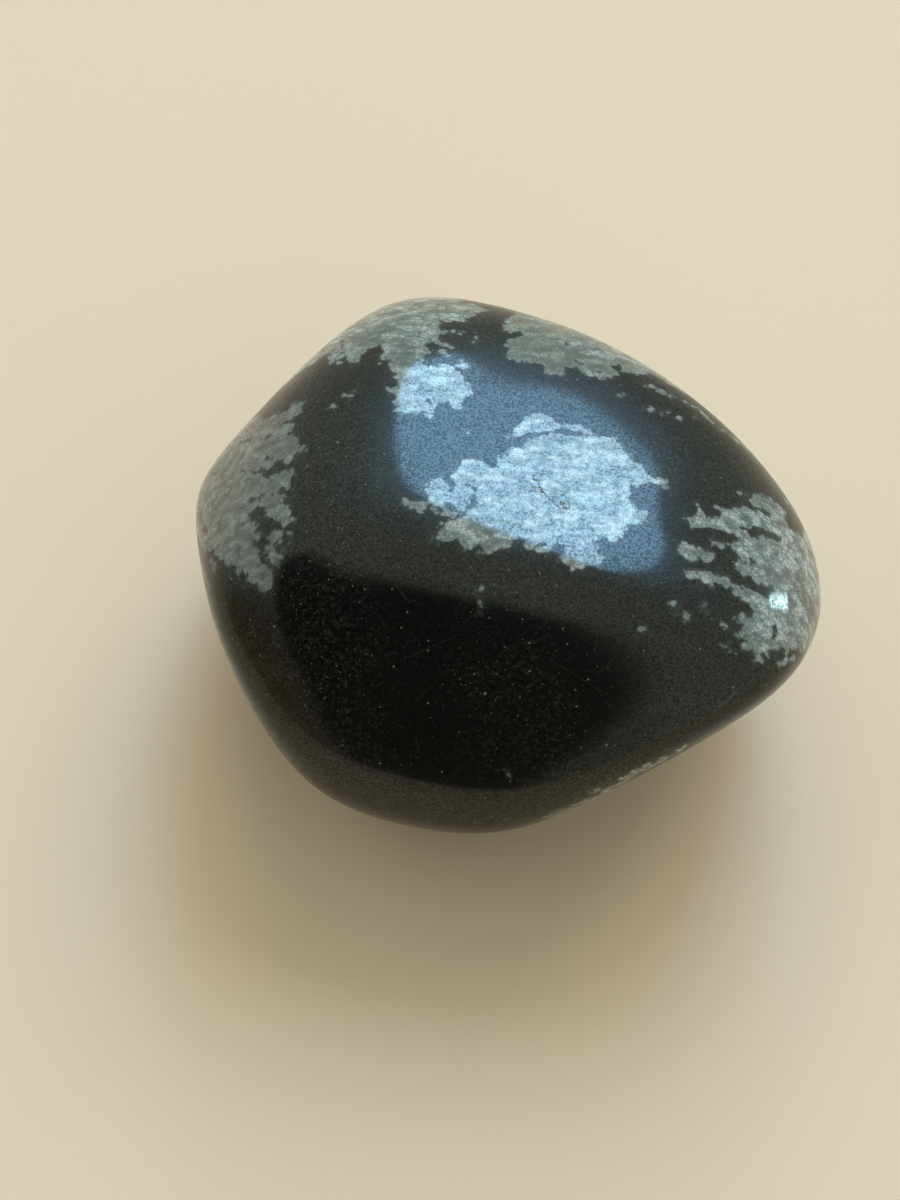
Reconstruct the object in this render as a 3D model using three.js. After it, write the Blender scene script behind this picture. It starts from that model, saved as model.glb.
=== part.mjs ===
// Snowflake obsidian: one tumbled and polished pebble of black volcanic glass.
// Millimetres, +Z up. The stone rests on its flat underside at z = 0, and the origin
// is on that face, under the middle of the stone's bounding box.
// The pebble is a ball worn into broad faces. Each face is a plane at its own distance
// from the middle of the stone, and the planes are blended into round shoulders.

import * as THREE from 'three';
import { mergeVertices } from 'three/addons/utils/BufferGeometryUtils.js';

// Height of the middle of the stone above the resting face
const MIDDLE_HEIGHT = 13.5;

// How tightly two worn faces turn into each other: a higher number gives a sharper shoulder
const SHOULDER_SHARPNESS = 11.5;

// Worn faces: the compass angle and the rise of the outward direction in degrees
// (azimuth 0 is +X, 90 is +Y), and the distance of the face from the middle of the stone
const WORN_FACES = {
  top: { azimuth: 30, elevation: 84, distance: 14.0 },
  base: { azimuth: 0, elevation: -90, distance: 13.7 },
  front: { azimuth: -98, elevation: 46, distance: 17.4 },
  near: { azimuth: -100, elevation: 10, distance: 22.2 },
  back: { azimuth: 95, elevation: -2, distance: 20.2 },
  backSlope: { azimuth: 100, elevation: 60, distance: 18.2 },
  leftSlope: { azimuth: 172, elevation: 52, distance: 20.0 },
  rightSlope: { azimuth: 0, elevation: 50, distance: 19.2 },
  underBack: { azimuth: 100, elevation: -45, distance: 17.8 },
  underLeft: { azimuth: 185, elevation: -50, distance: 18.8 },
  underRight: { azimuth: 5, elevation: -52, distance: 17.8 },
  upperLeft: { azimuth: 140, elevation: 22, distance: 19.8 },
  farRight: { azimuth: 68, elevation: 30, distance: 17.4 },
  rightShoulder: { azimuth: 42, elevation: 20, distance: 16.6 },
  rightEnd: { azimuth: 12, elevation: 8, distance: 21.9 },
  rightCorner: { azimuth: -12, elevation: -6, distance: 21.8 },
  lowerRight: { azimuth: -54, elevation: -28, distance: 15.6 },
  underFront: { azimuth: -101, elevation: -33, distance: 18.4 },
  bottomLeft: { azimuth: -140, elevation: -22, distance: 21.4 },
  lowerLeft: { azimuth: -162, elevation: -14, distance: 18.9 },
};

// Slow waves left by the tumbling: waves per unit of direction, start angle, and depth
// as a share of the distance from the middle
const TUMBLING_WAVES = [
  { along: [4.2, 2.6, 3.1], start: 0.4, depth: 0.0035 },
  { along: [-2.9, 5.3, 1.7], start: 2.1, depth: 0.003 },
  { along: [1.8, -3.4, 6.0], start: 4.0, depth: 0.0025 },
];

// Each of the ball's 20 first faces is split into (MESH_SPLITS + 1) squared triangles
const MESH_SPLITS = 14;

// Corners of the ball's triangles closer than this are one corner
const SAME_CORNER = 1e-5;

const GLASS_COLOUR = 0x0b0a09;
const GLASS_ROUGHNESS = 0.18;

function outwardDirection({ azimuth, elevation }) {
  const turn = THREE.MathUtils.degToRad(azimuth);
  const rise = THREE.MathUtils.degToRad(elevation);
  return new THREE.Vector3(
    Math.cos(rise) * Math.cos(turn),
    Math.cos(rise) * Math.sin(turn),
    Math.sin(rise),
  );
}

const faces = Object.values(WORN_FACES).map((face) => ({
  outward: outwardDirection(face),
  distance: face.distance,
}));

const waves = TUMBLING_WAVES.map((wave) => ({
  ...wave,
  along: new THREE.Vector3(...wave.along),
}));

// Distance from the middle of the stone to its surface in one direction
function surfaceDistance(direction) {
  let blend = 0;
  for (const face of faces) {
    const reach = Math.max(0, direction.dot(face.outward) / face.distance);
    blend += reach ** SHOULDER_SHARPNESS;
  }
  let swell = 1;
  for (const wave of waves) {
    swell += wave.depth * Math.sin(direction.dot(wave.along) + wave.start);
  }
  return swell * blend ** (-1 / SHOULDER_SHARPNESS);
}

// A ball with only its corners' places, each shared by the triangles around it
function plainBall() {
  const ball = new THREE.IcosahedronGeometry(1, MESH_SPLITS);
  ball.deleteAttribute('normal');
  ball.deleteAttribute('uv');
  return mergeVertices(ball, SAME_CORNER);
}

// The ball with every corner moved to the stone's surface, worn flat at z = 0
function stoneGeometry() {
  const stone = plainBall();
  const corners = stone.attributes.position;
  const direction = new THREE.Vector3();
  for (let i = 0; i < corners.count; i += 1) {
    direction.fromBufferAttribute(corners, i).normalize();
    const distance = surfaceDistance(direction);
    const height = MIDDLE_HEIGHT + direction.z * distance;
    corners.setXYZ(i, direction.x * distance, direction.y * distance, Math.max(0, height));
  }
  stone.computeBoundingBox();
  const middle = stone.boundingBox.getCenter(new THREE.Vector3());
  stone.translate(-middle.x, -middle.y, 0);
  stone.computeVertexNormals();
  return stone;
}

const glass = new THREE.MeshStandardMaterial({
  color: GLASS_COLOUR,
  roughness: GLASS_ROUGHNESS,
  metalness: 0,
});

const stone = new THREE.Mesh(stoneGeometry(), glass);
stone.name = 'stone';

const snowflakeObsidian = new THREE.Group();
snowflakeObsidian.add(stone);

export default snowflakeObsidian;
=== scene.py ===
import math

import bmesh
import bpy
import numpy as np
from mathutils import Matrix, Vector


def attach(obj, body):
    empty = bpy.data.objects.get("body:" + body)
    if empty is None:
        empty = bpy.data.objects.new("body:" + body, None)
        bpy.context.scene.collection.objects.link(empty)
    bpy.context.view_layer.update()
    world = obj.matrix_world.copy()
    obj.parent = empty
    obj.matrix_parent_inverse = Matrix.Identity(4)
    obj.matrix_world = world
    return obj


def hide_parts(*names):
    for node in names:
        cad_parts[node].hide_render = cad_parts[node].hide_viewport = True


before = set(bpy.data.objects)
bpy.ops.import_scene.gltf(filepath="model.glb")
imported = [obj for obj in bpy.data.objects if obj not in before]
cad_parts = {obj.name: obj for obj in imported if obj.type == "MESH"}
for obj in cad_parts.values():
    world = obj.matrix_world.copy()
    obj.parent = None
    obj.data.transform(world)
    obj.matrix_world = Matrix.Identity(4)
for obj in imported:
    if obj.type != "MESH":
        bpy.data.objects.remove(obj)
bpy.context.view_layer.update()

# Snowflake obsidian: one tumbled pebble of black volcanic glass with grey snowflake patches.
# Shapes are worked out in millimetres, from the middle of the stone, and made in metres.
# The patches are only colour. Their edges are read from the photograph in pixels of its
# 900 x 1200 frame and cast onto the stone; where the photograph hides them, they go on to
# compass directions on the stone.

MM = 0.001

# The stone's shape, as in the CAD model: for each worn face the compass angle and the rise
# of its outward direction in degrees (azimuth 0 is +X, 90 is +Y), and its distance from
# the middle of the stone in millimetres
MIDDLE_HEIGHT = 13.5
SHOULDER_SHARPNESS = 11.5
WORN_FACES = {
    "top": (30, 84, 14.0),
    "base": (0, -90, 13.7),
    "front": (-98, 46, 17.4),
    "near": (-100, 10, 22.2),
    "back": (95, -2, 20.2),
    "back_slope": (100, 60, 18.2),
    "left_slope": (172, 52, 20.0),
    "right_slope": (0, 50, 19.2),
    "under_back": (100, -45, 17.8),
    "under_left": (185, -50, 18.8),
    "under_right": (5, -52, 17.8),
    "upper_left": (140, 22, 19.8),
    "far_right": (68, 30, 17.4),
    "right_shoulder": (42, 20, 16.6),
    "right_end": (12, 8, 21.9),
    "right_corner": (-12, -6, 21.8),
    "lower_right": (-54, -28, 15.6),
    "under_front": (-101, -33, 18.4),
    "bottom_left": (-140, -22, 21.4),
    "lower_left": (-162, -14, 18.9),
}

# Slow waves left by the tumbling: waves per unit of direction, start angle, and depth
# as a share of the distance from the middle
TUMBLING_WAVES = [
    ((4.2, 2.6, 3.1), 0.4, 0.0035),
    ((-2.9, 5.3, 1.7), 2.1, 0.003),
    ((1.8, -3.4, 6.0), 4.0, 0.0025),
]

# The ball that becomes the stone is a cube with this many squares along each side, whose
# corners are crowded towards the side that the camera sees
CUBE_DIVISIONS = 128
CROWDING = 0.35

# The photograph's camera: its frame in pixels, its lens, how steeply it looks down, and
# where it sees the middle of the stone
PICTURE_WIDTH = 900
PICTURE_HEIGHT = 1200
LENS_MM = 54
SENSOR_MM = 36
CAMERA_RISE = 57
EYE_TO_MIDDLE = 125
MIDDLE_PIXEL = (508, 565)
FOCAL_PIXELS = LENS_MM / SENSOR_MM * PICTURE_HEIGHT

# Snowflake patches. "seen" is the edge in pixels, in order; "hidden" goes on from its last
# point, as (azimuth, elevation) on the stone; "islands" and "gaps" are closed edges in
# pixels; "streaks" and "cuts" are pale and dark strokes as (x, y, x, y, width) in pixels;
# "olive" is how far the grey leans to olive brown, and the last value how far the patch is
# darkened: partly its own darker tone, partly painted shade where it turns away from the
# light, as the left patch does.
FLAKES = {
    "centre": {
        "seen": [
            (533, 436), (560, 434), (600, 437), (615, 438), (623, 449), (635, 462), (650, 476),
            (669, 483), (655, 484), (638, 485), (630, 487), (627, 503), (640, 511), (652, 517),
            (643, 522), (625, 527), (627, 530), (622, 537), (612, 542), (603, 538), (593, 537),
            (590, 542), (598, 548), (600, 560), (597, 565), (573, 569), (558, 557), (565, 550),
            (557, 547), (548, 550), (538, 552), (527, 548), (523, 538), (520, 533), (515, 538),
            (512, 547), (503, 548), (493, 550), (483, 552), (478, 547), (473, 547), (467, 550),
            (462, 545), (458, 539), (450, 538), (437, 542), (433, 538), (438, 536), (438, 528),
            (448, 523), (455, 518), (463, 520), (465, 513), (473, 509), (475, 503), (472, 490),
            (457, 483), (450, 472), (457, 469), (465, 460), (472, 457), (480, 462), (495, 467),
            (497, 460), (508, 453), (511, 447), (520, 446), (523, 440),
        ],
        "islands": [
            [(508, 438), (514, 429), (522, 421), (537, 413), (550, 418), (558, 424), (578, 426),
             (594, 434), (584, 434), (572, 430), (556, 428), (548, 431), (530, 434), (518, 436)],
            [(425, 488), (431, 480), (440, 479), (449, 486), (450, 498), (444, 506), (434, 508),
             (426, 502)],
            [(454, 490), (460, 483), (468, 485), (472, 495), (469, 505), (460, 511), (453, 503)],
            [(405, 499), (413, 501), (425, 500), (429, 505), (420, 511), (411, 509)],
            [(440, 513), (450, 511), (462, 514), (452, 519)],
        ],
        "cuts": [
            (467, 485, 475, 491, 0.5), (475, 491, 476, 501, 0.5), (476, 501, 468, 509, 1),
            (538, 546, 562, 545, 3),
        ],
        "olive": 0.1,
        "tone_and_painted_shade": 0.0,
    },
    "top": {
        "seen": [
            (322, 356), (330, 354), (331, 363), (338, 363), (343, 356), (347, 352), (347, 362),
            (353, 364), (359, 362), (363, 351), (369, 350), (379, 346), (384, 352), (381, 357),
            (381, 364), (391, 358), (391, 371), (398, 373), (394, 378), (402, 385), (398, 389),
            (389, 390), (389, 395), (399, 397), (396, 403), (400, 407), (398, 411), (402, 414),
            (414, 413), (423, 411), (431, 417), (435, 413), (433, 407), (436, 405), (448, 402),
            (457, 409), (462, 406), (463, 401), (470, 394), (472, 388), (463, 377), (460, 373),
            (452, 367), (443, 363), (427, 368), (425, 363), (427, 356), (431, 351), (424, 346),
            (431, 341), (438, 338), (438, 324), (442, 322), (467, 321), (463, 317), (476, 315),
            (490, 311), (476, 305), (459, 303), (455, 298),
        ],
        "hidden": [(99, 22), (103, 12), (112, 6), (124, 9), (136, 14), (147, 24), (151, 33)],
        "islands": [
            [(454, 364), (463, 362), (472, 366), (468, 370), (456, 369)],
            [(438, 350), (448, 351), (447, 355), (438, 354)],
        ],
        "streaks": [(436, 342, 452, 348, 4), (442, 332, 460, 334, 3), (451, 301, 472, 298, 3)],
        "cuts": [(342, 341, 344, 357, 3), (427, 401, 432, 406, 4)],
        "olive": 0.3,
        "tone_and_painted_shade": 0.08,
    },
    "top_right": {
        "seen": [
            (512, 310), (520, 313), (508, 319), (505, 324), (502, 330), (510, 332), (520, 332),
            (525, 336), (510, 341), (507, 347), (512, 350), (505, 353), (508, 357), (517, 362),
            (535, 363), (542, 364), (548, 375), (562, 375), (565, 368), (578, 366), (588, 379),
            (595, 377), (602, 379), (618, 375), (608, 366), (620, 365), (623, 372), (632, 374),
            (652, 375), (662, 380), (675, 388),
        ],
        "hidden": [(29, 36), (36, 24), (48, 13), (60, 7), (73, 9), (84, 17), (89, 28)],
        "streaks": [
            (646, 384, 672, 397, 4), (687, 403, 700, 410, 4), (702, 413, 717, 427, 3),
            (719, 429, 732, 437, 3), (736, 441, 755, 455, 3),
        ],
        "cuts": [(565, 344, 570, 346, 4), (576, 362, 581, 364, 3), (595, 371, 600, 373, 3)],
        "olive": 0.7,
        "tone_and_painted_shade": 0.22,
    },
    "left": {
        "seen": [
            (248, 419), (258, 416), (263, 420), (271, 416), (288, 411), (296, 403), (303, 402),
            (302, 410), (296, 418), (284, 423), (294, 426), (291, 431), (282, 436), (298, 437),
            (298, 444), (306, 450), (298, 454), (288, 465), (282, 461), (268, 456), (262, 462),
            (262, 470), (244, 471), (262, 474), (267, 480), (266, 490), (262, 497), (249, 499),
            (262, 504), (252, 512), (251, 520), (259, 531), (264, 538), (258, 541), (258, 556),
            (271, 567), (272, 586), (265, 593), (259, 592), (258, 581), (251, 576), (246, 566),
            (242, 571), (239, 579), (235, 569), (222, 560), (219, 554), (208, 551), (204, 550),
            (199, 539), (194, 526),
        ],
        "hidden": [(-176, 4), (177, -8), (169, -8), (161, 1), (156, 12)],
        "islands": [
            [(261, 461), (270, 459), (275, 464), (268, 470), (261, 468)],
            [(269, 479), (276, 474), (289, 471), (295, 473), (291, 479), (294, 489), (288, 490),
             (282, 487), (271, 494), (261, 496), (262, 487)],
            [(263, 499), (271, 497), (279, 495), (286, 499), (286, 504), (291, 512), (293, 521),
             (284, 526), (276, 521), (267, 516), (268, 509), (262, 504)],
            [(268, 539), (271, 531), (278, 528), (291, 536), (284, 537), (279, 541)],
            [(266, 543), (274, 542), (278, 549), (284, 559), (278, 567), (272, 566), (269, 557)],
            [(284, 544), (290, 545), (289, 549), (284, 548)],
            [(244, 575), (250, 575), (253, 583), (246, 584)],
        ],
        "streaks": [(198, 561, 209, 584, 3), (211, 560, 216, 570, 3)],
        "cuts": [
            (199, 511, 208, 537, 4), (238, 444, 262, 439, 2), (262, 439, 270, 436, 2),
            (242, 471, 262, 473, 2), (256, 541, 262, 560, 4),
        ],
        "olive": 0.4,
        "tone_and_painted_shade": 0.52,
    },
    "right": {
        "seen": [
            (807, 541), (797, 533), (790, 530), (784, 522), (785, 513), (780, 505), (772, 501),
            (764, 497), (755, 494), (747, 500), (752, 504), (760, 509), (770, 515), (763, 515),
            (755, 511), (745, 507), (736, 508), (729, 509), (715, 507), (720, 511), (724, 517),
            (716, 517), (707, 518), (695, 514), (685, 519), (690, 525), (699, 528), (716, 529),
            (731, 533), (742, 540), (734, 543), (730, 546), (737, 554), (749, 557), (740, 562),
            (736, 567), (747, 576), (756, 581), (767, 584), (774, 587), (769, 598), (757, 591),
            (747, 588), (735, 584), (720, 574), (699, 569), (686, 574), (690, 578), (711, 584),
            (731, 587), (735, 592), (746, 602), (756, 611), (747, 616), (736, 617), (737, 624),
            (745, 630), (747, 641), (741, 644), (746, 649), (765, 654), (777, 651), (795, 651),
            (807, 651),
        ],
        "hidden": [(-31, 6), (-20, -6), (-8, -8), (0, 2), (-4, 12)],
        "islands": [
            [(678, 553), (680, 544), (686, 543), (692, 547), (714, 554), (709, 563), (699, 560),
             (687, 561)],
            [(755, 656), (761, 656), (760, 660), (755, 659)],
        ],
        "gaps": [[(740, 528), (752, 525), (768, 530), (781, 539), (770, 540), (750, 537)]],
        "streaks": [
            (780, 664, 794, 657, 4), (697, 504, 701, 512, 2), (712, 542, 721, 545, 3),
            (786, 501, 800, 519, 3), (800, 519, 808, 540, 4),
        ],
        "cuts": [(774, 626, 774, 636, 5), (743, 563, 752, 561, 3)],
        "olive": 0.0,
        "tone_and_painted_shade": 0.1,
    },
    "front_low": {
        "seen": [(558, 812), (566, 808), (578, 803), (588, 799), (601, 795), (612, 790)],
        "hidden": [(-69, -3), (-63, -14), (-70, -24), (-78, -20), (-80, -5)],
        "streaks": [
            (604, 791, 628, 779, 6), (624, 779, 645, 767, 7), (649, 768, 664, 759, 6),
            (677, 751, 684, 747, 3),
        ],
        "olive": 0.3,
        "tone_and_painted_shade": 0.0,
    },
}

# Small pale grains in the glass, away from the patches: (x, y) in pixels and width in mm
GRAINS = [
    (482, 606, 0.3), (480, 591, 0.3), (508, 773, 0.3), (643, 630, 0.28), (465, 431, 0.25),
    (476, 340, 0.3), (335, 408, 0.25), (354, 389, 0.25), (348, 396, 0.25), (651, 409, 0.25),
    (662, 412, 0.3), (678, 418, 0.3), (694, 417, 0.3), (622, 395, 0.25), (704, 608, 0.22),
    (683, 612, 0.3), (672, 605, 0.3), (726, 646, 0.3), (741, 636, 0.3), (721, 623, 0.3),
    (741, 495, 0.25), (664, 488, 0.3), (590, 789, 0.3), (595, 791, 0.3),
]

# Faint pale strokes in the glass: (x, y, x, y, width) in pixels
FAINT_STROKES = [
    (262, 722, 263, 727, 3), (271, 732, 276, 736, 3), (284, 751, 289, 757, 3),
    (298, 773, 303, 779, 3), (716, 710, 735, 692, 2),
]

# Patches that the photograph doesn't show: azimuth and elevation of the middle, and radius
# in mm
UNSEEN_FLAKES = [
    (72, -30, 4.4), (116, -24, 3.6), (22, -26, 3.4), (-32, -44, 3.0), (-118, -38, 4.0),
    (-152, -52, 2.4), (172, -44, 3.6), (100, -62, 2.6), (-64, -66, 3.2), (142, -14, 1.6),
    (46, -10, 1.4), (-4, -28, 1.8), (-140, -20, 1.3), (58, -52, 1.5),
]

# The crack in the middle of the centre patch, the pit at its end, and hairline cracks
# beside it, in pixels
CRACK = [(533, 476), (541, 489), (547, 497), (558, 507)]
CRACK_PIT = [(562, 504), (567, 507)]
SIDE_CRACKS = [
    [(560, 477), (566, 490)],
    [(570, 493), (581, 494)],
    [(547, 516), (554, 523), (564, 536)],
]


# Directions and the shape of the stone

def unit(vectors):
    """The vectors at length 1."""
    return vectors / np.linalg.norm(vectors, axis=-1, keepdims=True)


def direction(azimuth, elevation):
    """The unit direction of a compass angle and a rise, in degrees."""
    turn = math.radians(azimuth)
    rise = math.radians(elevation)
    flat = math.cos(rise)
    return np.array([flat * math.cos(turn), flat * math.sin(turn), math.sin(rise)])


FACE_DIRECTIONS = np.array([direction(*face[:2]) for face in WORN_FACES.values()])
FACE_DISTANCES = np.array([face[2] for face in WORN_FACES.values()])

# The camera's own axes, in the row frame
RIGHT = np.array([1.0, 0.0, 0.0])
AHEAD = -direction(-90, CAMERA_RISE)
UP = np.cross(RIGHT, AHEAD)


def surface_distance(directions):
    """Distance from the middle of the stone to its surface, one for each direction."""
    reach = np.maximum(0, directions @ FACE_DIRECTIONS.T / FACE_DISTANCES)
    blend = (reach ** SHOULDER_SHARPNESS).sum(axis=-1) ** (-1 / SHOULDER_SHARPNESS)
    swell = 1.0
    for along, start, depth in TUMBLING_WAVES:
        swell = swell + depth * np.sin(directions @ np.array(along) + start)
    return swell * blend


def surface_points(directions):
    """Points on the stone, from its middle, worn flat underneath."""
    points = directions * surface_distance(directions)[:, None]
    points[:, 2] = np.maximum(points[:, 2], -MIDDLE_HEIGHT)
    return points


# From the photograph's pixels to the stone

def pixel_rays(pixels):
    """Unit directions from the camera through pixels of the photograph."""
    across = (pixels[:, 0] - PICTURE_WIDTH / 2) / FOCAL_PIXELS
    down = (pixels[:, 1] - PICTURE_HEIGHT / 2) / FOCAL_PIXELS
    return unit(AHEAD + across[:, None] * RIGHT - down[:, None] * UP)


def camera_place():
    """Where the camera is, from the middle of the stone."""
    across = (MIDDLE_PIXEL[0] - PICTURE_WIDTH / 2) / FOCAL_PIXELS
    down = (MIDDLE_PIXEL[1] - PICTURE_HEIGHT / 2) / FOCAL_PIXELS
    return -EYE_TO_MIDDLE * (AHEAD + across * RIGHT - down * UP)


def seen_directions(pixels):
    """Directions from the middle of the stone to what the pixels show, or pass closest to."""
    nearest, farthest, step = EYE_TO_MIDDLE - 32, EYE_TO_MIDDLE + 20, 0.1
    depths = np.arange(nearest, farthest, step)
    rays = pixel_rays(np.array(pixels, dtype=float))
    places = camera_place() + rays[:, None, :] * depths[None, :, None]
    gaps = np.linalg.norm(places, axis=-1) - surface_distance(unit(places))
    hits = gaps < 0
    first = np.where(hits.any(axis=1), hits.argmax(axis=1), gaps.argmin(axis=1))
    return unit(places[np.arange(len(rays)), first])


def hidden_directions(angles):
    """Directions for a list of (azimuth, elevation)."""
    return np.array([direction(*pair) for pair in angles]).reshape(-1, 3)


# Patches as signed depths: millimetres inside the edge, negative outside

class Chart:
    """Lays the surface round one direction out flat, in millimetres along the surface."""

    def __init__(self, centre):
        self.centre = unit(centre)
        self.across = unit(np.cross(UP, self.centre))
        self.upward = np.cross(self.centre, self.across)
        self.reach = surface_distance(self.centre[None, :])[0]

    def flat(self, directions):
        """Where directions lie on the chart, in millimetres from its centre."""
        turn = np.arccos(np.clip(directions @ self.centre, -1, 1))
        across = directions @ self.across
        upward = directions @ self.upward
        scale = self.reach * turn / np.maximum(np.hypot(across, upward), 1e-9)
        return np.stack([across * scale, upward * scale], axis=1)


def depth_in_outline(points, outline):
    """Depth of each point inside a closed outline."""
    nearest = np.full(len(points), np.inf)
    inside = np.zeros(len(points), dtype=bool)
    for start, end in zip(outline, np.roll(outline, -1, axis=0)):
        nearest = np.minimum(nearest, distance_to_stroke(points, start, end))
        crosses = (start[1] > points[:, 1]) != (end[1] > points[:, 1])
        rise = end[1] - start[1] if end[1] != start[1] else 1.0
        meets = start[0] + (points[:, 1] - start[1]) / rise * (end[0] - start[0])
        inside ^= crosses & (points[:, 0] < meets)
    return np.where(inside, nearest, -nearest)


def distance_to_stroke(points, start, end):
    """Distance of each point from a straight stroke."""
    along = end - start
    offsets = points - start
    share = np.clip(offsets @ along / max(along @ along, 1e-9), 0, 1)
    return np.linalg.norm(offsets - share[:, None] * along, axis=1)


def depth_in_discs(points, discs):
    """Depth of each point inside a cluster of round lobes, each (x, y, radius)."""
    depth = np.full(len(points), -np.inf)
    for x, y, radius in discs:
        depth = np.maximum(depth, radius - np.hypot(points[:, 0] - x, points[:, 1] - y))
    return depth


def lobes_along(path, rng):
    """Round lobes of mixed size along a path, for an edge that the photograph hides."""
    spacing, scatter, smallest, largest = 0.9, 0.25, 0.45, 0.95
    discs = []
    for start, end in zip(path[:-1], path[1:]):
        count = max(1, round(np.linalg.norm(end - start) / spacing))
        for share in (np.arange(count) + 0.5) / count:
            place = start + share * (end - start) + rng.normal(0, scatter, 2)
            discs.append((*place, rng.uniform(smallest, largest)))
    return discs


# A whole patch made of lobes: the radius of its heart, and its rings as the number of
# lobes, how far out they are and how big, all as shares of the patch's radius
LOBED_HEART = 0.4
LOBED_RINGS = [(8, 0.45, 0.24), (13, 0.74, 0.17), (30, 0.95, 0.09), (8, 1.25, 0.05)]


def lobed_patch(radius, rng):
    """Round lobes of a whole patch: a heart, big lobes round it, and small ones outside."""
    discs = [(0.0, 0.0, LOBED_HEART * radius)]
    lean, pinch = rng.uniform(0, 2 * math.pi, 2)
    for count, place, size in LOBED_RINGS:
        for turn in rng.uniform(0, 2 * math.pi, count):
            bulge = 1 + 0.28 * math.sin(2 * turn + lean) + 0.2 * math.sin(3 * turn + pinch)
            reach = radius * place * bulge * rng.uniform(0.85, 1.1)
            lobe = radius * size * rng.uniform(0.7, 1.25)
            discs.append((reach * math.cos(turn), reach * math.sin(turn), lobe))
    return discs


def stroke_depth(chart, points, stroke):
    """Depth inside a stroke that is given in pixels as (x, y, x, y, width)."""
    pixel_size = EYE_TO_MIDDLE / FOCAL_PIXELS
    ends = chart.flat(seen_directions([stroke[:2], stroke[2:4]]))
    return stroke[4] * pixel_size / 2 - distance_to_stroke(points, *ends)


def flake_depth(flake, directions, rng):
    """Depth of each direction inside one patch that is read from the photograph."""
    seen = seen_directions(flake["seen"])
    hidden = hidden_directions(flake.get("hidden", []))
    edge = np.vstack([seen, hidden])
    chart = Chart(edge.mean(axis=0))
    points = chart.flat(directions)
    depth = depth_in_outline(points, chart.flat(edge))
    if len(hidden):
        unseen_path = chart.flat(np.vstack([seen[-1:], hidden, seen[:1]]))
        depth = np.maximum(depth, depth_in_discs(points, lobes_along(unseen_path, rng)))
    for island in flake.get("islands", []):
        inside = depth_in_outline(points, chart.flat(seen_directions(island)))
        depth = np.maximum(depth, inside)
    for stroke in flake.get("streaks", []):
        depth = np.maximum(depth, stroke_depth(chart, points, stroke))
    for gap in flake.get("gaps", []):
        inside = depth_in_outline(points, chart.flat(seen_directions(gap)))
        depth = np.minimum(depth, -inside)
    for stroke in flake.get("cuts", []):
        depth = np.minimum(depth, -stroke_depth(chart, points, stroke))
    return depth


# How far patches and small marks can reach from their middle, as the cosine of the angle
FLAKE_REACH = 0.2
UNSEEN_FLAKE_REACH = 0.6
SMALL_MARK_REACH = 0.9

# The depth in mm, or less, that stands for far outside every patch
FAR_OUTSIDE = -3.0

# Small grains are clusters of crumbs
CRUMBS_PER_GRAIN = 4


def grain_crumbs(width, rng):
    """Round crumbs of a small grain, each (x, y, radius)."""
    return [
        (*rng.normal(0, width / 3, 2), width * rng.uniform(0.15, 0.35))
        for _ in range(CRUMBS_PER_GRAIN)
    ]


def all_flakes(directions):
    """Depth inside the nearest patch, how olive it is, and how far it is darkened (its own tone,
    and painted shade), for each direction.
    """
    rng = np.random.default_rng(7)
    deepest = np.full(len(directions), FAR_OUTSIDE)
    olive = np.zeros(len(directions))
    tone_and_painted_shade = np.zeros(len(directions))

    def lay(near, depth, own_olive, own_tone_and_painted_shade):
        """Keeps one patch's values where it is the deepest so far."""
        places = np.flatnonzero(near)
        wins = places[depth > deepest[places]]
        deepest[places] = np.maximum(deepest[places], depth)
        olive[wins] = own_olive
        tone_and_painted_shade[wins] = own_tone_and_painted_shade

    for flake in FLAKES.values():
        centre = unit(seen_directions(flake["seen"]).mean(axis=0))
        near = directions @ centre > FLAKE_REACH
        depth = flake_depth(flake, directions[near], rng)
        lay(near, depth, flake["olive"], flake["tone_and_painted_shade"])
    for azimuth, elevation, radius in UNSEEN_FLAKES:
        chart = Chart(direction(azimuth, elevation))
        near = directions @ chart.centre > UNSEEN_FLAKE_REACH
        depth = depth_in_discs(chart.flat(directions[near]), lobed_patch(radius, rng))
        lay(near, depth, rng.uniform(0.1, 0.7), rng.uniform(0.0, 0.3))
    for x, y, width in GRAINS:
        chart = Chart(seen_directions([(x, y)])[0])
        near = directions @ chart.centre > SMALL_MARK_REACH
        depth = depth_in_discs(chart.flat(directions[near]), grain_crumbs(width, rng))
        lay(near, depth, own_olive=0.2, own_tone_and_painted_shade=0.3)
    return deepest, olive, tone_and_painted_shade


def faint_strokes(directions):
    """How strongly each direction shows one of the faint strokes, from 0 to 1."""
    edge_width = 0.2
    strength = np.zeros(len(directions))
    for stroke in FAINT_STROKES:
        chart = Chart(seen_directions([stroke[:2]])[0])
        near = directions @ chart.centre > SMALL_MARK_REACH
        depth = stroke_depth(chart, chart.flat(directions[near]), stroke)
        strength[near] = np.maximum(strength[near], np.clip(0.5 + depth / edge_width, 0, 1))
    return strength


# The stone's mesh

def ball_mesh(name):
    """A cube with CUBE_DIVISIONS squares along each side, as a new mesh."""
    cube = bmesh.new()
    bmesh.ops.create_cube(cube, size=2)
    bmesh.ops.subdivide_edges(
        cube, edges=cube.edges[:], cuts=CUBE_DIVISIONS - 1, use_grid_fill=True
    )
    mesh = bpy.data.meshes.new(name)
    cube.to_mesh(mesh)
    cube.free()
    return mesh


def ball_directions(mesh):
    """Even directions for the cube's corners, crowded towards the camera's side."""
    corners = np.empty(len(mesh.vertices) * 3)
    mesh.vertices.foreach_get("co", corners)
    even = unit(np.tan(corners.reshape(-1, 3) * math.pi / 4))
    return unit(even - CROWDING * AHEAD)


def add_values(mesh, name, values):
    """Stores one number for each corner of the mesh."""
    stored = mesh.attributes.new(name, "FLOAT", "POINT")
    stored.data.foreach_set("value", values.astype(np.float32))


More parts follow.
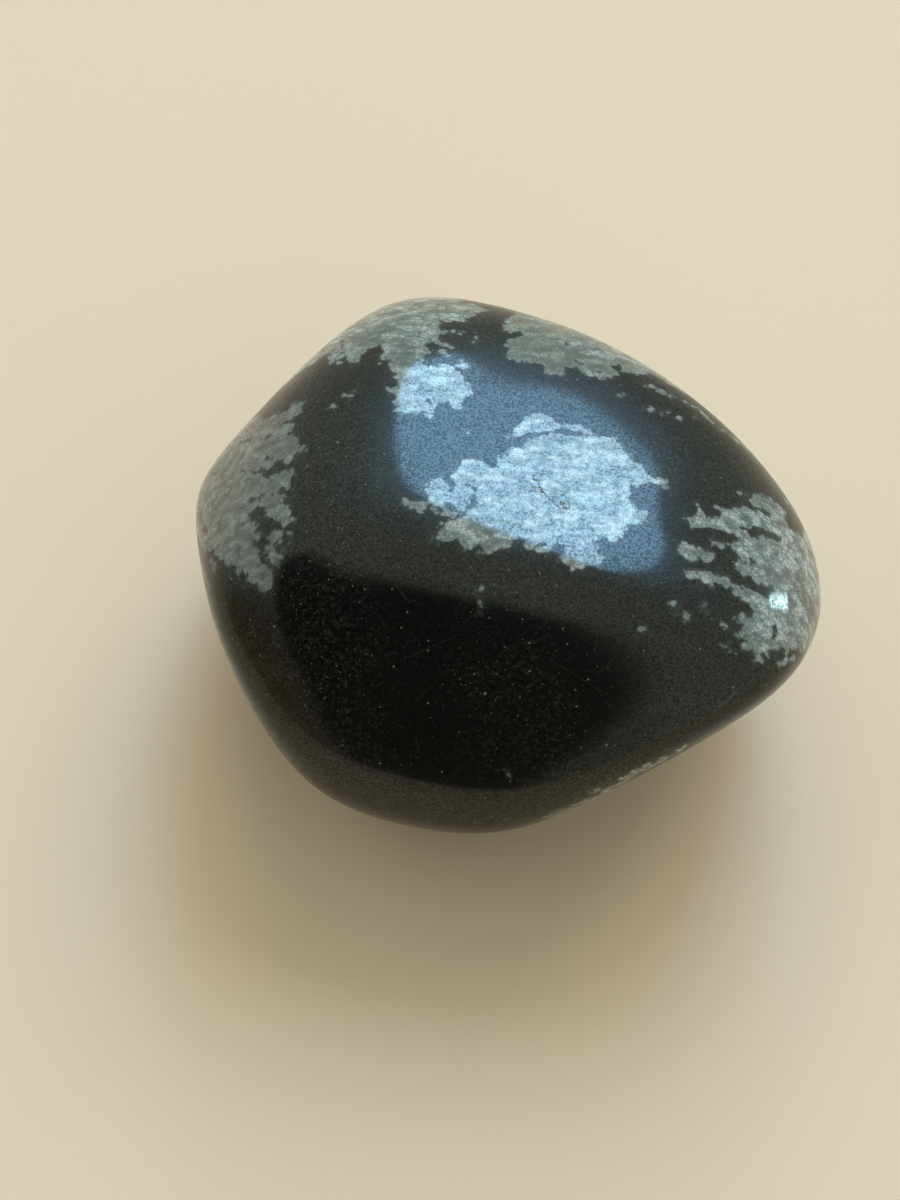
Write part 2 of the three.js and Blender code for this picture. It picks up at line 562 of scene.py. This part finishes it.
def make_stone():
    """The polished stone, and where its middle lies in the row frame in millimetres."""
    mesh = ball_mesh("polished_stone")
    directions = ball_directions(mesh)
    points = surface_points(directions)
    lowest, highest = points.min(axis=0), points.max(axis=0)
    middle = -(lowest + highest) / 2
    middle[2] = MIDDLE_HEIGHT
    mesh.vertices.foreach_set("co", ((points + middle) * MM).ravel())
    depth, olive, tone_and_painted_shade = all_flakes(directions)
    add_values(mesh, "flake_depth", depth)
    add_values(mesh, "flake_olive", olive)
    add_values(mesh, "flake_tone_and_painted_shade", tone_and_painted_shade)
    add_values(mesh, "faint_stroke", faint_strokes(directions))
    mesh.polygons.foreach_set("use_smooth", np.ones(len(mesh.polygons), dtype=bool))
    mesh.update()
    stone = bpy.data.objects.new("polished_stone", mesh)
    bpy.context.scene.collection.objects.link(stone)
    return stone, middle


# Short calls for shader nodes

def add_node(tree, kind, inputs=None, **options):
    """Adds a node, sets its options, and sets or links its inputs."""
    node = tree.nodes.new(kind)
    for option, value in options.items():
        setattr(node, option, value)
    for socket, value in (inputs or {}).items():
        set_or_link(tree, node.inputs[socket], value)
    return node


def set_or_link(tree, socket, value):
    """Links another node's output to a socket, or sets the socket to a plain value."""
    if isinstance(value, bpy.types.NodeSocket):
        tree.links.new(value, socket)
    else:
        socket.default_value = value


def maths(tree, operation, *values):
    """A number worked out from others."""
    node = add_node(tree, "ShaderNodeMath", dict(enumerate(values)), operation=operation)
    return node.outputs[0]


def times(tree, first, second):
    """The product of two numbers."""
    return maths(tree, "MULTIPLY", first, second)


def raised(tree, base, value, reach):
    """The base where the value is 0, and base plus reach where it is 1."""
    return maths(tree, "ADD", base, times(tree, value, reach))


def lowered(tree, base, value, reach):
    """The base where the value is 0, and base less reach where it is 1."""
    return maths(tree, "SUBTRACT", base, times(tree, value, reach))


def vector_maths(tree, operation, *values):
    """A vector, or a length or product, worked out from vectors."""
    node = add_node(tree, "ShaderNodeVectorMath", dict(enumerate(values)), operation=operation)
    plain = operation in ("LENGTH", "DISTANCE", "DOT_PRODUCT")
    return node.outputs["Value" if plain else "Vector"]


def soft_step(tree, value, low, high):
    """0 below low, 1 above high, with a smooth rise between; low may be the larger one."""
    span = {"Value": value, "From Min": low, "From Max": high}
    return add_node(tree, "ShaderNodeMapRange", span, interpolation_type="SMOOTHSTEP").outputs[0]


def noise(tree, place, per_mm, detail=2.0, roughness=0.5):
    """Cloudy noise from 0 to 1, with so many clouds per millimetre."""
    inputs = {"Vector": place, "Scale": per_mm, "Detail": detail, "Roughness": roughness}
    return add_node(tree, "ShaderNodeTexNoise", inputs).outputs[0]


def centred(tree, value, reach):
    """A number from 0 to 1, spread to run from minus to plus half of reach."""
    return times(tree, maths(tree, "SUBTRACT", value, 0.5), reach)


def shaken(tree, place, per_mm, reach):
    """The place moved about by noise, which makes lines wavy and spots ragged."""
    clouds = add_node(tree, "ShaderNodeTexNoise", {"Vector": place, "Scale": per_mm})
    offset = vector_maths(tree, "SUBTRACT", clouds.outputs["Color"], (0.5, 0.5, 0.5))
    offset = vector_maths(tree, "MULTIPLY", offset, (reach, reach, reach))
    return vector_maths(tree, "ADD", place, offset)


def stored_value(tree, name):
    """A number stored at the corners of the mesh."""
    return add_node(tree, "ShaderNodeAttribute", attribute_name=name).outputs["Fac"]


def mix_colours(tree, share, first, second):
    """The first colour where the share is 0 and the second where it is 1."""
    node = add_node(tree, "ShaderNodeMix", data_type="RGBA")
    factor, colour_a, colour_b = node.inputs[0], node.inputs[6], node.inputs[7]
    for socket, value in ((factor, share), (colour_a, first), (colour_b, second)):
        set_or_link(tree, socket, value)
    return node.outputs[2]


def colour_ramp(tree, value, stops):
    """A colour picked by a number, from stops of (number, colour)."""
    node = add_node(tree, "ShaderNodeValToRGB", {"Fac": value})
    elements = node.color_ramp.elements
    while len(elements) < len(stops):
        elements.new(0.5)
    for element, (place, colour) in zip(elements, stops):
        element.position = place
        element.color = colour
    return node.outputs[0]


def empty_material(name):
    """A new material and its node tree, with no nodes in it."""
    material = bpy.data.materials.new(name)
    material.use_nodes = True
    material.node_tree.nodes.clear()
    return material, material.node_tree


def show(tree, shader, kind="ShaderNodeOutputMaterial"):
    """Makes a shader the one that the tree shows."""
    tree.links.new(shader.outputs[0], add_node(tree, kind).inputs[0])


# The cracks in the centre patch

CRACK_BROWN = (0.08, 0.063, 0.03, 1)
PIT_RADIUS = 0.15

# The soft edge of each mark: the distance in mm where it begins and where it is full
CRACK_EDGE = (0.12, 0.03)
SIDE_CRACK_EDGE = (0.06, 0.01)
STAIN_EDGE = (0.3, 0.05)

# The pit's ring is this many times as thin as the crack
RING_THINNESS = 1.7
SIDE_CRACK_STRENGTH = 0.5
STAIN_STRENGTH = 0.2

# The cracks wander this far in mm, and parts of them are only half as strong
CRACK_WAVES_PER_MM = 3.5
CRACK_WANDER = 0.5
CRACK_BREAKS_PER_MM = 4.0


def capsule_distance(tree, place, start, end):
    """Distance in mm from a straight piece of a crack, whose ends are in mm."""
    along = [float(b - a) for a, b in zip(start, end)]
    square = sum(step * step for step in along)
    offset = vector_maths(tree, "SUBTRACT", place, tuple(map(float, start)))
    product = vector_maths(tree, "DOT_PRODUCT", offset, tuple(along))
    share = add_node(
        tree, "ShaderNodeMath", {0: product, 1: square}, operation="DIVIDE", use_clamp=True
    ).outputs[0]
    spread = add_node(
        tree, "ShaderNodeVectorMath", {0: tuple(along), "Scale": share}, operation="SCALE"
    )
    rest = vector_maths(tree, "SUBTRACT", offset, spread.outputs["Vector"])
    return vector_maths(tree, "LENGTH", rest)


def path_distance(tree, place, pixels, middle):
    """Distance in mm from a crack that is read from the photograph in pixels."""
    points = surface_points(seen_directions(pixels)) + middle
    nearest = capsule_distance(tree, place, points[0], points[1])
    for start, end in zip(points[1:-1], points[2:]):
        nearest = maths(tree, "MINIMUM", nearest, capsule_distance(tree, place, start, end))
    return nearest


def crack_shares(tree, place, middle):
    """Where the cracks show and where they stain the patch round them, from 0 to 1."""
    wavy = shaken(tree, place, CRACK_WAVES_PER_MM, CRACK_WANDER)
    crack = path_distance(tree, wavy, CRACK, middle)
    pit = path_distance(tree, wavy, CRACK_PIT, middle)
    ring = maths(tree, "ABSOLUTE", maths(tree, "SUBTRACT", pit, PIT_RADIUS))
    ring = times(tree, ring, RING_THINNESS)
    line = soft_step(tree, maths(tree, "MINIMUM", crack, ring), *CRACK_EDGE)
    whole = soft_step(tree, noise(tree, place, CRACK_BREAKS_PER_MM, detail=3.0), 0.34, 0.56)
    line = times(tree, line, raised(tree, 0.5, whole, 0.5))
    for pixels in SIDE_CRACKS:
        side = path_distance(tree, wavy, pixels, middle)
        side = soft_step(tree, side, *SIDE_CRACK_EDGE)
        line = maths(tree, "MAXIMUM", line, times(tree, side, SIDE_CRACK_STRENGTH))
    stain = times(tree, soft_step(tree, crack, *STAIN_EDGE), STAIN_STRENGTH)
    return line, stain


# Dust and scratches

DUST = (0.34, 0.34, 0.31, 1)

# How much of the dirt's colour covers the stone where it is thickest
DIRT_COVER = 0.6

# Dust specks: cells per mm, the speck's radius in mm, and the number from 0 to 1 that a
# cell's own random number has to pass for a speck to show
FINE_SPECKS = (4.4, 0.05, 0.3)
COARSE_SPECKS = [(1.7, 0.08, 0.4), (0.8, 0.11, 0.45)]

# Hairline scratches: cells per mm, each with one scratch, and their strength
SCRATCHES = [(0.16, 0.1), (0.36, 0.08), (0.5, 0.07)]

# A scratch begins and is full at these distances from its line in mm, and fades out
# between these distances from its middle, as shares of its cell
SCRATCH_EDGE = (0.03, 0.008)
SCRATCH_FADE = (0.42, 0.2)

# Specks and scratches are made ragged by noise with this many waves per mm and this reach
RAGGED_WAVES_PER_MM = 9.0
RAGGED_REACH = 0.14

# The film of the finest dust, and the broad places where dust is thicker
FILM_GRAINS_PER_MM = 3.4
DUSTY_PLACES_PER_MM = 0.14


def scratch_share(tree, place, per_mm, strength):
    """Hairline scratches: in each cell, the plane through its centre along a random way."""
    fade_end, fade_start = (share / per_mm for share in SCRATCH_FADE)
    cell = add_node(tree, "ShaderNodeTexVoronoi", {"Vector": place, "Scale": per_mm})
    offset = vector_maths(tree, "SUBTRACT", place, cell.outputs["Position"])
    way = vector_maths(tree, "SUBTRACT", cell.outputs["Color"], (0.5, 0.5, 0.5))
    way = vector_maths(tree, "NORMALIZE", way)
    aside = maths(tree, "ABSOLUTE", vector_maths(tree, "DOT_PRODUCT", offset, way))
    line = soft_step(tree, aside, *SCRATCH_EDGE)
    reach = soft_step(tree, vector_maths(tree, "LENGTH", offset), fade_end, fade_start)
    return times(tree, times(tree, line, reach), strength)


def speck_share(tree, place, per_mm, radius, rarity):
    """Dust specks, the brighter the further a cell's random number passes rarity."""
    cell = add_node(tree, "ShaderNodeTexVoronoi", {"Vector": place, "Scale": per_mm})
    edge = radius * per_mm
    spot = soft_step(tree, cell.outputs["Distance"], edge, edge * 0.4)
    return times(tree, spot, soft_step(tree, cell.outputs["Color"], rarity, 1.0))


def dirt_share(tree, place):
    """Dust and hairline scratches together, with the fine dust thicker in some places."""
    ragged = shaken(tree, place, RAGGED_WAVES_PER_MM, RAGGED_REACH)
    thick = soft_step(tree, noise(tree, place, DUSTY_PLACES_PER_MM), 0.38, 0.62)
    powder = speck_share(tree, ragged, *FINE_SPECKS)
    powder = times(tree, powder, raised(tree, 0.25, thick, 0.6))
    film = noise(tree, place, FILM_GRAINS_PER_MM, detail=4.0, roughness=0.75)
    film = soft_step(tree, film, 0.45, 0.75)
    film = times(tree, film, raised(tree, 0.02, thick, 0.1))
    dirt = maths(tree, "ADD", powder, film)
    for specks in COARSE_SPECKS:
        dirt = maths(tree, "MAXIMUM", dirt, speck_share(tree, ragged, *specks))
    for scratches in SCRATCHES:
        dirt = maths(tree, "MAXIMUM", dirt, scratch_share(tree, ragged, *scratches))
    return dirt


# The obsidian's finish

GLASS = (0.0002, 0.0002, 0.0002, 1)
GLASS_HAZE = (0.001, 0.0009, 0.0006, 1)
# FLAKE_DEEP is what patches are darkened towards, for a darker tone of their own and for painted
# shade
FLAKE_DEEP = (0.02, 0.024, 0.022, 1)
FLAKE_DARK = (0.058, 0.068, 0.067, 1)
FLAKE_MIDDLE = (0.168, 0.192, 0.192, 1)
FLAKE_PALE = (0.34, 0.382, 0.382, 1)
FLAKE_OLIVE = (0.13, 0.13, 0.092, 1)

# The greys of a patch, each with the amount of cotton noise that it stands for
COTTON_GREYS = [(0.38, FLAKE_DARK), (0.49, FLAKE_MIDDLE), (0.61, FLAKE_PALE)]

# The lobes that fray a patch's edge: how many per mm, how far each swells in cells, and
# how many mm the edge moves for each cell of swelling
LOBES_PER_MM = 1.6
LOBE_SWELL = 0.52
LOBE_FRAY = 0.55

# Soft edges of a patch, as depths in mm where each begins and is full: the patch itself,
# the thin veil outside it, the even grey rim inside it, and the seams between its lobes
PATCH_EDGE = (-0.1, 0.11)
VEIL_EDGE = (-0.4, 0.1)
RIM_EDGE = (0.0, 0.35)
SEAM_EDGE = (0.16, 0.0)

# How strongly each mark covers what is under it
VEIL_STRENGTH = 0.12
SEAM_STRENGTH = 0.75
DOT_STRENGTH = 0.5
STROKE_STRENGTH = 0.15

# How fine each noise is, in clouds or dots per mm
FRAY_PER_MM = 2.6
GRAIN_PER_MM = 7.0
DOTS_PER_MM = 5.5
COTTON_CLOUDS_PER_MM = 1.3
BROAD_TONES_PER_MM = 0.3
OLIVE_PLACES_PER_MM = 0.5
SEAM_BREAKS_PER_MM = 0.8
GLASS_HAZE_PER_MM = 0.35

# The gloss: a soft broad shine, which makes the wide haze, under a sharp and thin one
SOFT_ROUGHNESS = 0.31
SOFT_IOR = 1.27
SHARP_ROUGHNESS = 0.085
SHARP_IOR = 1.8
RELIEF_METRES = 4e-6

# Weight of the sharp shine on glass, what a patch and its pale places add to it, and what
# the fine grain on glass, the same grain on patches, dirt and the crack take away
GLASS_SHINE = 0.4
PATCH_SHINE = 0.46
PALE_SHINE = 0.2
GRAIN_LOSS = 0.25
PATCH_GRAIN_LOSS = 0.4
DIRT_LOSS = 0.2
CRACK_LOSS = 0.7


def patch_places(tree, place):
    """Depth in a patch in mm, the swelling of its lobes, and the distance from their seams."""
    bent = shaken(tree, place, LOBES_PER_MM, 1.0)
    cells = {"Vector": bent, "Scale": LOBES_PER_MM}
    lobe = add_node(tree, "ShaderNodeTexVoronoi", cells)
    seam = add_node(tree, "ShaderNodeTexVoronoi", cells, feature="DISTANCE_TO_EDGE")
    swollen = maths(tree, "SUBTRACT", LOBE_SWELL, lobe.outputs["Distance"])
    fray = centred(tree, noise(tree, place, FRAY_PER_MM, detail=3.0), 0.4)
    fray = raised(tree, fray, swollen, LOBE_FRAY)
    depth = maths(tree, "ADD", stored_value(tree, "flake_depth"), fray)
    return depth, swollen, seam.outputs["Distance"]


def cotton_noise(tree, place, grain, swollen):
    """How pale the cottony grey of the patches is, drawn out a little along X."""
    banded = vector_maths(tree, "MULTIPLY", place, (0.5, 1.0, 1.0))
    cloud = noise(tree, banded, COTTON_CLOUDS_PER_MM, detail=5.0, roughness=0.62)
    speckle = centred(tree, grain, 0.35)
    broad = centred(tree, noise(tree, place, BROAD_TONES_PER_MM), 0.3)
    puffed = times(tree, maths(tree, "SUBTRACT", swollen, 0.1), 0.16)
    cotton = maths(tree, "ADD", cloud, speckle)
    return maths(tree, "ADD", cotton, maths(tree, "ADD", broad, puffed))


def patch_colour(tree, place, cotton, depth, seam):
    """Cottony grey, olive in places, even at the rim, darker along broken seams, and darkened by
    its own tone and by painted shade.
    """
    olive = stored_value(tree, "flake_olive")
    tone_and_painted_shade = stored_value(tree, "flake_tone_and_painted_shade")
    colour = colour_ramp(tree, cotton, COTTON_GREYS)
    brownish = soft_step(tree, noise(tree, place, OLIVE_PLACES_PER_MM), 0.3, 0.7)
    colour = mix_colours(tree, times(tree, olive, brownish), colour, FLAKE_OLIVE)
    # Here and at the rim the patch is darkened towards FLAKE_DEEP: partly its own darker tone,
    # partly painted shade where it turns away from the light
    colour = mix_colours(tree, tone_and_painted_shade, colour, FLAKE_DEEP)
    rim_colour = mix_colours(tree, tone_and_painted_shade, FLAKE_MIDDLE, FLAKE_DEEP)
    colour = mix_colours(tree, soft_step(tree, depth, *RIM_EDGE), rim_colour, colour)
    broken = soft_step(tree, noise(tree, place, SEAM_BREAKS_PER_MM), 0.4, 0.58)
    vein = times(tree, soft_step(tree, seam, *SEAM_EDGE), broken)
    return mix_colours(tree, times(tree, vein, SEAM_STRENGTH), colour, FLAKE_DARK)


def glass_colour(tree, place, depth):
    """Black glass with brownish haze, the faint strokes, and a thin veil round the patches."""
    haze = soft_step(tree, noise(tree, place, GLASS_HAZE_PER_MM, detail=4.0), 0.4, 0.75)
    colour = mix_colours(tree, haze, GLASS, GLASS_HAZE)
    stroke = times(tree, stored_value(tree, "faint_stroke"), STROKE_STRENGTH)
    colour = mix_colours(tree, stroke, colour, DUST)
    veil = times(tree, soft_step(tree, depth, *VEIL_EDGE), VEIL_STRENGTH)
    return mix_colours(tree, veil, colour, FLAKE_MIDDLE)


def sharp_gloss(tree, flake, cotton, grain, dirt, line):
    """How much of the sharp shine shows: broken up by grain, and weaker on dirt and cracks."""
    pale = soft_step(tree, cotton, 0.4, 0.6)
    gloss = times(tree, flake, raised(tree, PATCH_SHINE, pale, PALE_SHINE))
    pits = soft_step(tree, grain, 0.42, 0.6)
    pit_loss = raised(tree, GRAIN_LOSS, flake, PATCH_GRAIN_LOSS)
    gloss = maths(tree, "ADD", gloss, lowered(tree, GLASS_SHINE, pits, pit_loss))
    gloss = lowered(tree, gloss, dirt, DIRT_LOSS)
    gloss = lowered(tree, gloss, line, CRACK_LOSS)
    return maths(tree, "MAXIMUM", gloss, 0.0)


def obsidian(middle):
    """Black glass with flush grey snowflakes, grain, scratches, dust and the crack."""
    material, tree = empty_material("obsidian")
    metres = add_node(tree, "ShaderNodeTexCoord").outputs["Object"]
    in_mm = {0: metres, "Scale": 1 / MM}
    place = add_node(tree, "ShaderNodeVectorMath", in_mm, operation="SCALE").outputs["Vector"]

    depth, swollen, seam = patch_places(tree, place)
    flake = soft_step(tree, depth, *PATCH_EDGE)
    grain = noise(tree, place, GRAIN_PER_MM, detail=1.0)
    cotton = cotton_noise(tree, place, grain, swollen)
    line, stain = crack_shares(tree, place, middle)
    dirt = dirt_share(tree, place)

    grey = patch_colour(tree, place, cotton, depth, seam)
    colour = mix_colours(tree, flake, glass_colour(tree, place, depth), grey)
    dots = soft_step(tree, noise(tree, place, DOTS_PER_MM, detail=1.0), 0.5, 0.6)
    dots = times(tree, times(tree, dots, flake), DOT_STRENGTH)
    colour = mix_colours(tree, dots, colour, FLAKE_DARK)
    colour = mix_colours(tree, stain, colour, CRACK_BROWN)
    colour = mix_colours(tree, line, colour, CRACK_BROWN)
    colour = mix_colours(tree, times(tree, dirt, DIRT_COVER), colour, DUST)

    roughness = raised(tree, SOFT_ROUGHNESS, flake, 0.12)
    roughness = raised(tree, roughness, line, 0.3)
    relief = lowered(tree, times(tree, flake, 0.25), line, 4.0)
    bump = add_node(
        tree, "ShaderNodeBump", {"Height": relief, "Distance": RELIEF_METRES, "Strength": 1.0}
    )

    shader = add_node(tree, "ShaderNodeBsdfPrincipled", {
        "Base Color": colour,
        "Roughness": roughness,
        "IOR": SOFT_IOR,
        "Coat Weight": sharp_gloss(tree, flake, cotton, grain, dirt, line),
        "Coat Roughness": SHARP_ROUGHNESS,
        "Coat IOR": SHARP_IOR,
        "Normal": bump.outputs[0],
    })
    show(tree, shader)
    return material


# Camera, light and floor

BACKDROP = (0.74, 0.66, 0.51, 1)
FLOOR_COLOUR = (0.7, 0.54, 0.42, 1)
FLOOR_RADIUS = 2.6
FLOOR_FADE_START = 0.9
FLOOR_FADE_END = 2.2
LIGHT_DISTANCE = 3.0
WINDOW_COLOUR = (0.36, 0.69, 1.0, 1)
WINDOW_GLOW = 9.2
SOFT_BOX_COLOUR = (1.0, 0.95, 0.82)
FAR_WINDOW_COLOUR = (0.6, 0.92, 1.0)

# Corners of the window as the stone mirrors it: azimuth and elevation from the stone
WINDOW_CORNERS = [
    (89, 41), (89, 33), (84, 32), (77, 41), (62, 43), (56, 49), (51, 60), (45, 73), (70, 67),
    (86, 54),
]
WINDOW_MIDDLE = (72, 51)

# The room that the stone mirrors: even, browner on the near left side, with one dark
# shape behind the camera
ROOM = (0.72, 0.79, 0.64, 1)
ROOM_BROWN = (0.36, 0.31, 0.2, 1)
ROOM_DARK = (0.01, 0.012, 0.013, 1)
BROWN_SIDE = direction(-135, -10)
DARK_SIDE = direction(-100, -10)

# The dark shape is measured across, along DARK_ACROSS, and upwards. Above DARK_SHOULDER
# it widens to its left, and its top rises towards both sides
DARK_ACROSS = direction(-11, 0)
DARK_MIDDLE = -0.04
DARK_SHOULDER = 0.4
DARK_WIDENING = 0.5
DARK_BOW = 0.3

# Where each soft edge in the room begins and is full, as cosines or sines of directions
DARK_EDGE = (0.195, 0.095)
DARK_TOP_EDGE = (0.83, 0.72)
DARK_NEAR_EDGE = (0.05, 0.2)
BROWN_EDGE = (0.45, 0.8)


def to_blender(vector):
    """A vector of plain numbers, for Blender's own properties."""
    return tuple(float(part) for part in vector)


def aim(thing, ahead):
    """Turns a camera or light to look along a direction, with +Z up in its picture."""
    thing.rotation_euler = Vector(to_blender(ahead)).to_track_quat("-Z", "Y").to_euler()


def make_camera(middle):
    """The photograph's camera."""
    data = bpy.data.cameras.new("camera")
    data.lens = LENS_MM
    data.sensor_width = SENSOR_MM
    data.clip_start = 0.01
    camera = bpy.data.objects.new("camera", data)
    camera.location = to_blender((middle + camera_place()) * MM)
    aim(camera, AHEAD)
    bpy.context.scene.collection.objects.link(camera)
    bpy.context.scene.camera = camera


def make_panel(name, azimuth, elevation, width, height, watts, colour, mirrored):
    """A soft panel light that faces the stone, which may or may not mirror it."""
    data = bpy.data.lights.new(name, "AREA")
    data.shape = "RECTANGLE"
    data.size = width
    data.size_y = height
    data.energy = watts
    data.color = colour
    light = bpy.data.objects.new(name, data)
    away = direction(azimuth, elevation)
    light.location = to_blender(away * LIGHT_DISTANCE)
    aim(light, -away)
    light.visible_camera = False
    light.visible_glossy = mirrored
    bpy.context.scene.collection.objects.link(light)


def make_window():
    """A bright window pane, which lights the stone and is mirrored in its top."""
    middle = direction(*WINDOW_MIDDLE)
    corners = []
    for pair in WINDOW_CORNERS:
        towards = direction(*pair)
        corners.append(to_blender(towards * LIGHT_DISTANCE / (towards @ middle)))
    mesh = bpy.data.meshes.new("window")
    mesh.from_pydata(corners, [], [range(len(corners))])
    material, tree = empty_material("window_light")
    glow = {"Color": WINDOW_COLOUR, "Strength": WINDOW_GLOW}
    show(tree, add_node(tree, "ShaderNodeEmission", glow))
    mesh.materials.append(material)
    window = bpy.data.objects.new("window", mesh)
    window.visible_camera = False
    bpy.context.scene.collection.objects.link(window)


def dark_share(tree, looking):
    """Where the dark shape in the room is, from 0 to 1."""
    aside = vector_maths(tree, "DOT_PRODUCT", looking, to_blender(DARK_ACROSS))
    height = vector_maths(tree, "DOT_PRODUCT", looking, (0.0, 0.0, 1.0))
    closeness = vector_maths(tree, "DOT_PRODUCT", looking, to_blender(DARK_SIDE))
    over_shoulder = maths(tree, "SUBTRACT", height, DARK_SHOULDER)
    spread = times(tree, maths(tree, "MAXIMUM", over_shoulder, 0.0), DARK_WIDENING)
    from_middle = maths(tree, "ADD", maths(tree, "SUBTRACT", aside, DARK_MIDDLE), spread)
    past_spread = maths(tree, "SUBTRACT", maths(tree, "ABSOLUTE", from_middle), spread)
    bowed_height = lowered(tree, height, maths(tree, "ABSOLUTE", aside), DARK_BOW)
    strip = soft_step(tree, past_spread, *DARK_EDGE)
    near_side = soft_step(tree, closeness, *DARK_NEAR_EDGE)
    low = soft_step(tree, bowed_height, *DARK_TOP_EDGE)
    return times(tree, times(tree, strip, near_side), low)


def make_room():
    """The room that the stone mirrors, and a pale backdrop where the camera looks."""
    world = bpy.data.worlds.new("room")
    bpy.context.scene.world = world
    world.use_nodes = True
    tree = world.node_tree
    tree.nodes.clear()
    looking = add_node(tree, "ShaderNodeTexCoord").outputs["Generated"]
    brownness = vector_maths(tree, "DOT_PRODUCT", looking, to_blender(BROWN_SIDE))
    colour = mix_colours(tree, soft_step(tree, brownness, *BROWN_EDGE), ROOM, ROOM_BROWN)
    colour = mix_colours(tree, dark_share(tree, looking), colour, ROOM_DARK)
    camera_ray = add_node(tree, "ShaderNodeLightPath").outputs["Is Camera Ray"]
    colour = mix_colours(tree, camera_ray, colour, BACKDROP)
    background = add_node(tree, "ShaderNodeBackground", {"Color": colour})
    show(tree, background, "ShaderNodeOutputWorld")


def floor_material():
    """Plain pale paper that fades into the backdrop far from the stone."""
    material, tree = empty_material("floor_paper")
    place = add_node(tree, "ShaderNodeTexCoord").outputs["Object"]
    out = vector_maths(tree, "LENGTH", place)
    far = soft_step(tree, out, FLOOR_FADE_START, FLOOR_FADE_END)
    matt = {"Base Color": FLOOR_COLOUR, "Roughness": 0.85}
    paper = add_node(tree, "ShaderNodeBsdfPrincipled", matt)
    glow = add_node(tree, "ShaderNodeEmission", {"Color": BACKDROP})
    blend = {0: far, 1: paper.outputs[0], 2: glow.outputs[0]}
    show(tree, add_node(tree, "ShaderNodeMixShader", blend))
    return material


def make_floor():
    """A wide round floor at the stone's resting face."""
    disc = bmesh.new()
    bmesh.ops.create_circle(disc, cap_ends=True, segments=96, radius=FLOOR_RADIUS)
    mesh = bpy.data.meshes.new("floor")
    disc.to_mesh(mesh)
    disc.free()
    mesh.materials.append(floor_material())
    floor = bpy.data.objects.new("floor", mesh)
    bpy.context.scene.collection.objects.link(floor)


def main():
    stone, middle = make_stone()
    stone.data.materials.append(obsidian(middle))
    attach(stone, "root")
    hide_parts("stone")
    make_camera(middle)
    make_room()
    make_window()
    make_panel(
        "soft_box", azimuth=70, elevation=48, width=2.8, height=2.4, watts=56,
        colour=SOFT_BOX_COLOUR, mirrored=False,
    )
    make_panel(
        "far_window", azimuth=29, elevation=8.5, width=0.14, height=0.85, watts=5.4,
        colour=FAR_WINDOW_COLOUR, mirrored=True,
    )
    make_floor()
    bpy.context.scene.view_settings.view_transform = "Standard"


main()
